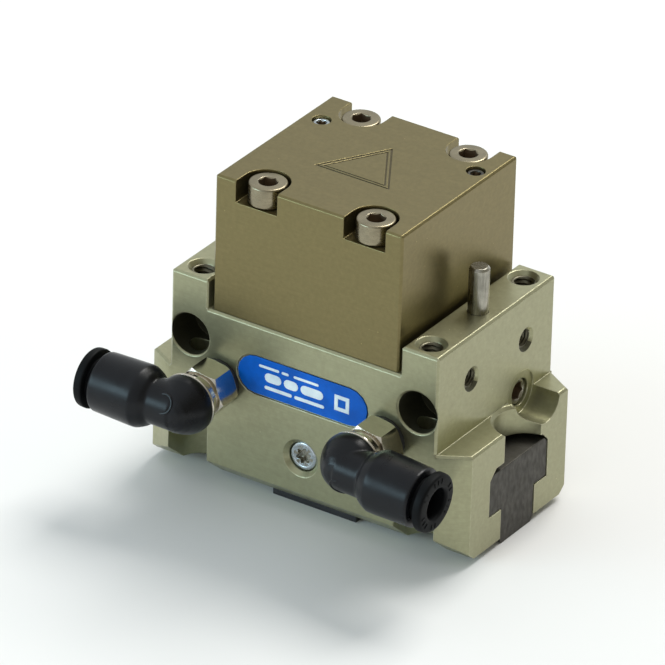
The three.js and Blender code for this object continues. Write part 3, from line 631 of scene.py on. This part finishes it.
# ---- threads in the open holes ----
def thread(name, place, way, radius, depth, pitch):
    """A closed sleeve with a helical thread inside. place is the hole's mouth, way points inwards."""
    segments = 40
    steps = max(8, int(depth / pitch * 8))
    crest = 0.55 * pitch
    wall = radius - 0.005
    bm = bmesh.new()
    inner, outer = [], []
    for k in range(steps + 1):
        height = depth * k / steps
        ring_in, ring_out = [], []
        for i in range(segments):
            share = i / segments
            wave = abs(((height / pitch - share) % 1.0) - 0.5) * 2
            r = radius - 0.02 - crest * (1 - wave)
            angle = 2 * math.pi * share
            ring_in.append(bm.verts.new((r * math.cos(angle), r * math.sin(angle), height)))
            ring_out.append(bm.verts.new((wall * math.cos(angle), wall * math.sin(angle), height)))
        inner.append(ring_in)
        outer.append(ring_out)
    for walls in (inner, outer):
        for lower, upper in zip(walls, walls[1:]):
            for i in range(segments):
                j = (i + 1) % segments
                bm.faces.new((lower[i], lower[j], upper[j], upper[i]))
    for end in (0, -1):
        for i in range(segments):
            j = (i + 1) % segments
            bm.faces.new((inner[end][i], inner[end][j], outer[end][j], outer[end][i]))
    piece = new_object(name, bm)
    turn = Vector((0, 0, 1)).rotation_difference(Vector(way)).to_matrix().to_4x4()
    settled = Matrix.Translation(place) @ turn
    settle(piece, settled, "thread", "housing", smooth=math.radians(60))


HORN_HOLE_Y = 11.8
END_MIDDLE_Y = 0.8
END_HOLE_Y = 7.0
END_HOLE_Z = 26.0
END_THREAD_X = 21.75
HORN_RIM_DEPTH = 0.62
HORN_THREAD = (1.7, 6.0, 0.7)  # radius, depth and pitch
END_THREAD = (1.45, 3.6, 0.5)


def horn_and_end_threads():
    horn_x = centre("dowel_pin").x
    for side_name, sx in zip(SIDES, (-1, 1)):
        for row_name, sy in (("front", -1), ("back", 1)):
            mouth = (sx * horn_x, sy * HORN_HOLE_Y, HORN_TOP - HORN_RIM_DEPTH)
            thread(f"horn_thread_{row_name}_{side_name}", mouth, (0, 0, -1), *HORN_THREAD)
            mouth = (sx * END_THREAD_X, END_MIDDLE_Y + sy * END_HOLE_Y, END_HOLE_Z)
            thread(f"end_thread_{row_name}_{side_name}", mouth, (-sx, 0, 0), *END_THREAD)


horn_and_end_threads()


# ---- name plate ----
PLATE_FACE = corners("name_plate")[0].y
PLATE_MIDDLE = centre("name_plate")


def bar_outline(x, z, width, height):
    """A bar with rounded ends, drawn in the plate's own plane."""
    r = height / 2
    points = []
    for middle, start in ((x + width / 2 - r, -90), (x - width / 2 + r, 90)):
        for i in range(7):
            angle = math.radians(start + 30 * i)
            points.append((middle + r * math.cos(angle), z + r * math.sin(angle)))
    return points


PRINT_THICK = 0.03
PRINT_ROWS = (  # height up the plate, height of the bars, and each bar's middle and width
    (1.70, 0.42, ((-5.6, 3.4), (-2.9, 1.2), (0.6, 4.2))),
    (0.20, 1.45, ((-4.9, 2.8), (-1.9, 2.4), (1.6, 3.8))),
    (-1.45, 0.55, ((-4.0, 4.6), (1.2, 5.0))),
)


def plate_print():
    """Plain pale bars and a plain square stand where such a plate carries its print."""
    thick = PRINT_THICK
    upright = out_of_front(PLATE_MIDDLE.x, PLATE_FACE, PLATE_MIDDLE.z)
    for row, (z, height, bars) in enumerate(PRINT_ROWS, 1):
        for number, (x, width) in enumerate(bars, 1):
            bar = prism(f"plate_bar_{row}_{number}", bar_outline(x, z, width, height), -0.01, thick)
            settle(bar, upright, "white_print", "housing")
    square = [(0.9, -0.01), (1.75, -0.01), (1.75, thick), (0.9, thick), (0.9, -0.01)]
    place = upright @ Matrix.Translation((6.6, 0.05, 0.0)) @ Matrix.Rotation(math.pi / 4, 4, "Z")
    settle(lathe("plate_square", square, 4), place, "white_print", "housing")


plate_print()


# ---- push-in fittings ----
# Drawn as the CAD has them: swivel axis along local Z from the housing's face, arm along local +X.
RIM = 7.9
ARM_OUT = 10.0
NECK_R = 3.4
ARM_ROOT_R = 4.6
ARM_END_R = 4.4
HEX_BOTTOM = 1.0
HEX_TOP = 5.2
HEX_TURN = -0.16
TUBE_R = 2.3
COLLAR_GAP = 0.9


def fitting_frame(side):
    stem = centre(f"fitting_stem_{side}")
    return out_of_front(stem.x, FRONT, stem.z)


def arm_turn(side):
    press = JOINTS[f"collar_{side}_press"]["axis"]
    return Matrix.Rotation(math.atan2(-press[2], -press[0]), 4, "Z")


def arm_length(side):
    """From the swivel axis to the end of the arm's body, along the arm."""
    press = Vector(JOINTS[f"collar_{side}_press"]["axis"])
    stem = centre(f"fitting_stem_{side}")
    low, high = corners(f"elbow_{side}")
    reach = (stem.x - low.x) if press.x > 0 else (high.x - stem.x)
    return (reach - ARM_END_R * abs(press.z)) / abs(press.x)


def fitting_stem(side):
    ring = arc(4.0, RIM - 0.4, 0.3, -90, 90)
    profile = [(1.2, -4.4), (1.75, -4.4), (2.05, -4.1), (2.05, HEX_BOTTOM + 0.3), (3.0, HEX_BOTTOM + 0.3),
               (3.0, HEX_TOP + 0.2), (3.35, HEX_TOP + 0.5), (3.35, RIM - 1.0), (3.7, RIM - 0.75)]
    profile += ring + [(2.6, RIM - 0.1), (2.6, ARM_OUT - 0.4), (1.2, ARM_OUT - 0.4), (1.2, -4.4)]
    core = lathe(f"stem_{side}", profile, 72)
    hexagonal = prism("hexagon", hexagon(7, HEX_TURN), HEX_BOTTOM, HEX_TOP)
    turned = [(0, HEX_BOTTOM - 0.1), (3.5, HEX_BOTTOM - 0.1), (4.1, HEX_BOTTOM + 0.35)]
    turned += [(4.1, HEX_TOP - 0.35), (3.45, HEX_TOP + 0.1), (0, HEX_TOP + 0.1)]
    combine(hexagonal, lathe("rounding", turned, 72), "INTERSECT")
    cut(hexagonal, plain_rod("hollow", 2.5, 0, 8, 48))
    join(core, hexagonal)
    replaced = [f"fitting_stem_{side}"]
    settle(core, fitting_frame(side), "nickel", "housing", replaced, math.radians(25))


def elbow(side):
    length = arm_length(side)
    hub_profile = [(0, RIM), (4.15, RIM)] + arc(4.15, RIM + 0.25, 0.25, -90, 0, 3)
    hub_profile += [(4.38, RIM + 1.0), (4.2, RIM + 1.7), (3.8, RIM + 2.5), (3.3, RIM + 3.4)]
    hub_profile += [(2.6, RIM + 4.3), (1.7, RIM + 4.95), (0.8, RIM + 5.25), (0, RIM + 5.3)]
    body = lathe(f"elbow_body_{side}", hub_profile, 64)
    neck = along_x(plain_rod("neck", NECK_R, 0, 4.4, 64), ARM_OUT)
    arm_profile = [(0, 3.6), (NECK_R - 0.2, 3.6), (NECK_R, 3.8), (NECK_R + 0.6, 4.5)]
    arm_profile += [(ARM_ROOT_R - 0.25, 5.2), (ARM_ROOT_R, 5.8), (ARM_ROOT_R, 6.6)]
    arm_profile += [(ARM_END_R, length - 0.25), (ARM_END_R - 0.25, length), (0, length)]
    arm = along_x(lathe("arm", arm_profile, 64), ARM_OUT)
    join(body, neck, arm)
    remesh = body.modifiers.new("remesh", "REMESH")
    remesh.mode = "VOXEL"
    remesh.voxel_size = 0.16
    soften = body.modifiers.new("soften", "SMOOTH")
    soften.factor = 0.5
    soften.iterations = 6
    applied(body)
    swivel_seat = plain_rod("swivel_seat", 4.45, 0, RIM + 0.02, 64)
    spigot_bore = plain_rod("spigot_bore", 2.75, RIM - 1, ARM_OUT, 40)
    cut(body, swivel_seat, spigot_bore)
    air_bore = plain_rod("air_bore", 1.4, 0.5, 7, 32)
    tube_bore = plain_rod("tube_bore", TUBE_R, 5.2, length + 1, 40)
    collar_bore = plain_rod("collar_bore", 3.4, length - 5.4, length + 1, 48)
    end_face = plain_rod("end_face", 6, length - 0.08, length + 2, 48)
    cut(body, *(along_x(tool, ARM_OUT) for tool in (air_bore, tube_bore, collar_bore, end_face)))
    place = fitting_frame(side) @ arm_turn(side)
    name = f"elbow_{side}"
    settle(body, place, "black_plastic", name, [name], math.radians(40))
    ring_profile = [(1.2, -0.3), (1.55, -0.3), (1.55, 0.1), (1.48, 0.17)]
    ring_profile += [(1.27, 0.17), (1.2, 0.1), (1.2, -0.3)]
    badge = lathe(f"elbow_badge_{side}", ring_profile, 48)
    tilt = Matrix.Rotation(0.5, 4, "X") @ Matrix.Rotation(0.15, 4, "Y")
    badge_place = place @ Matrix.Translation((0.9, -1.6, RIM + 4.66)) @ tilt
    settle(badge, badge_place, "black_plastic", name)


def release_collar(side):
    start = arm_length(side) + COLLAR_GAP
    flange = [(TUBE_R, start - 3.2), (3.15, start - 3.2), (3.2, start - 3.1), (3.2, start), (4.15, start)]
    flange += arc(4.15, start + 0.25, 0.25, -90, 0, 3) + arc(3.95, start + 0.95, 0.42, 0, 90, 5)
    flange += [(3.3, start + 1.4), (TUBE_R + 0.45, start + 1.4)]
    flange += arc(TUBE_R + 0.4, start + 1.0, 0.4, 90, 180, 4) + [(TUBE_R, start - 3.2)]
    collar = along_x(lathe(f"collar_{side}", flange, 80), ARM_OUT)
    place = fitting_frame(side) @ arm_turn(side)
    body = f"collar_{side}"
    replaced = [f"release_collar_{side}"]
    settle(collar, place, "collar_plastic", body, replaced, math.radians(35))
    ribs = 24
    bm = bmesh.new()
    for number in range(ribs):
        if number % 8 in (0, 4, 7):
            continue
        matrix = Matrix.Rotation(2 * math.pi * number / ribs, 4, "X")
        matrix @= Matrix.Translation((start + 1.41, 0, 3.45))
        bmesh.ops.create_cube(bm, size=1.0, matrix=matrix @ Matrix.Diagonal((0.14, 0.16, 0.75, 1)))
    marks = turned_mesh(new_object(f"collar_ribs_{side}", bm), Matrix.Translation((0, 0, ARM_OUT)))
    settle(marks, place, "collar_plastic", body)


for side in SIDES:
    fitting_stem(side)
    elbow(side)
    release_collar(side)


# ---- stage ----
def add_floor():
    bm = bmesh.new()
    bmesh.ops.create_grid(bm, x_segments=1, y_segments=1, size=3.0)
    floor = new_object("floor", bm)
    n = Nodes("floor")
    tone = n.mix(n.ramp(n.noise(3, 2), 0.3, 0.7), (0.79, 0.79, 0.785), (0.82, 0.82, 0.815))
    floor.data.materials.append(n.finish(tone, 0.7))


def area_light(name, place, size, power, colour, aim=(0, 0, 0.022)):
    data = bpy.data.lights.new(name, "AREA")
    data.shape = "RECTANGLE"
    data.size, data.size_y = size
    data.energy = power
    data.color = colour
    light = bpy.data.objects.new(name, data)
    light.location = place
    light.rotation_euler = (Vector(aim) - Vector(place)).to_track_quat("-Z", "Y").to_euler()
    bpy.context.collection.objects.link(light)


def add_sky():
    """An even studio dome, warmer and dimmer towards the object's right."""
    world = bpy.data.worlds.new("studio")
    world.use_nodes = True
    tree = world.node_tree
    place = tree.nodes.new("ShaderNodeTexCoord")
    split = tree.nodes.new("ShaderNodeSeparateXYZ")
    fade = tree.nodes.new("ShaderNodeMapRange")
    fade.inputs["From Min"].default_value = 0.1
    fade.inputs["From Max"].default_value = 0.8
    blend = tree.nodes.new("ShaderNodeMix")
    blend.data_type = "RGBA"
    blend.inputs[6].default_value = (0.95, 0.99, 1.0, 1.0)
    blend.inputs[7].default_value = (0.36, 0.335, 0.26, 1.0)
    tree.links.new(place.outputs["Generated"], split.inputs[0])
    tree.links.new(split.outputs["X"], fade.inputs["Value"])
    tree.links.new(fade.outputs["Result"], blend.inputs["Factor"])
    sky = tree.nodes["Background"]
    tree.links.new(blend.outputs[2], sky.inputs["Color"])
    sky.inputs["Strength"].default_value = 0.76
    bpy.context.scene.world = world


def add_lights():
    area_light("window", (0.06, 0.55, 0.88), (0.5, 0.5), 7.6, (1.0, 0.985, 0.95))
    area_light("front_fill", (-0.60, -0.80, 0.30), (0.7, 0.35), 4.2, (0.58, 0.86, 1.0))
    add_sky()


add_floor()
add_lights()
bpy.context.scene.view_settings.view_transform = "Standard"
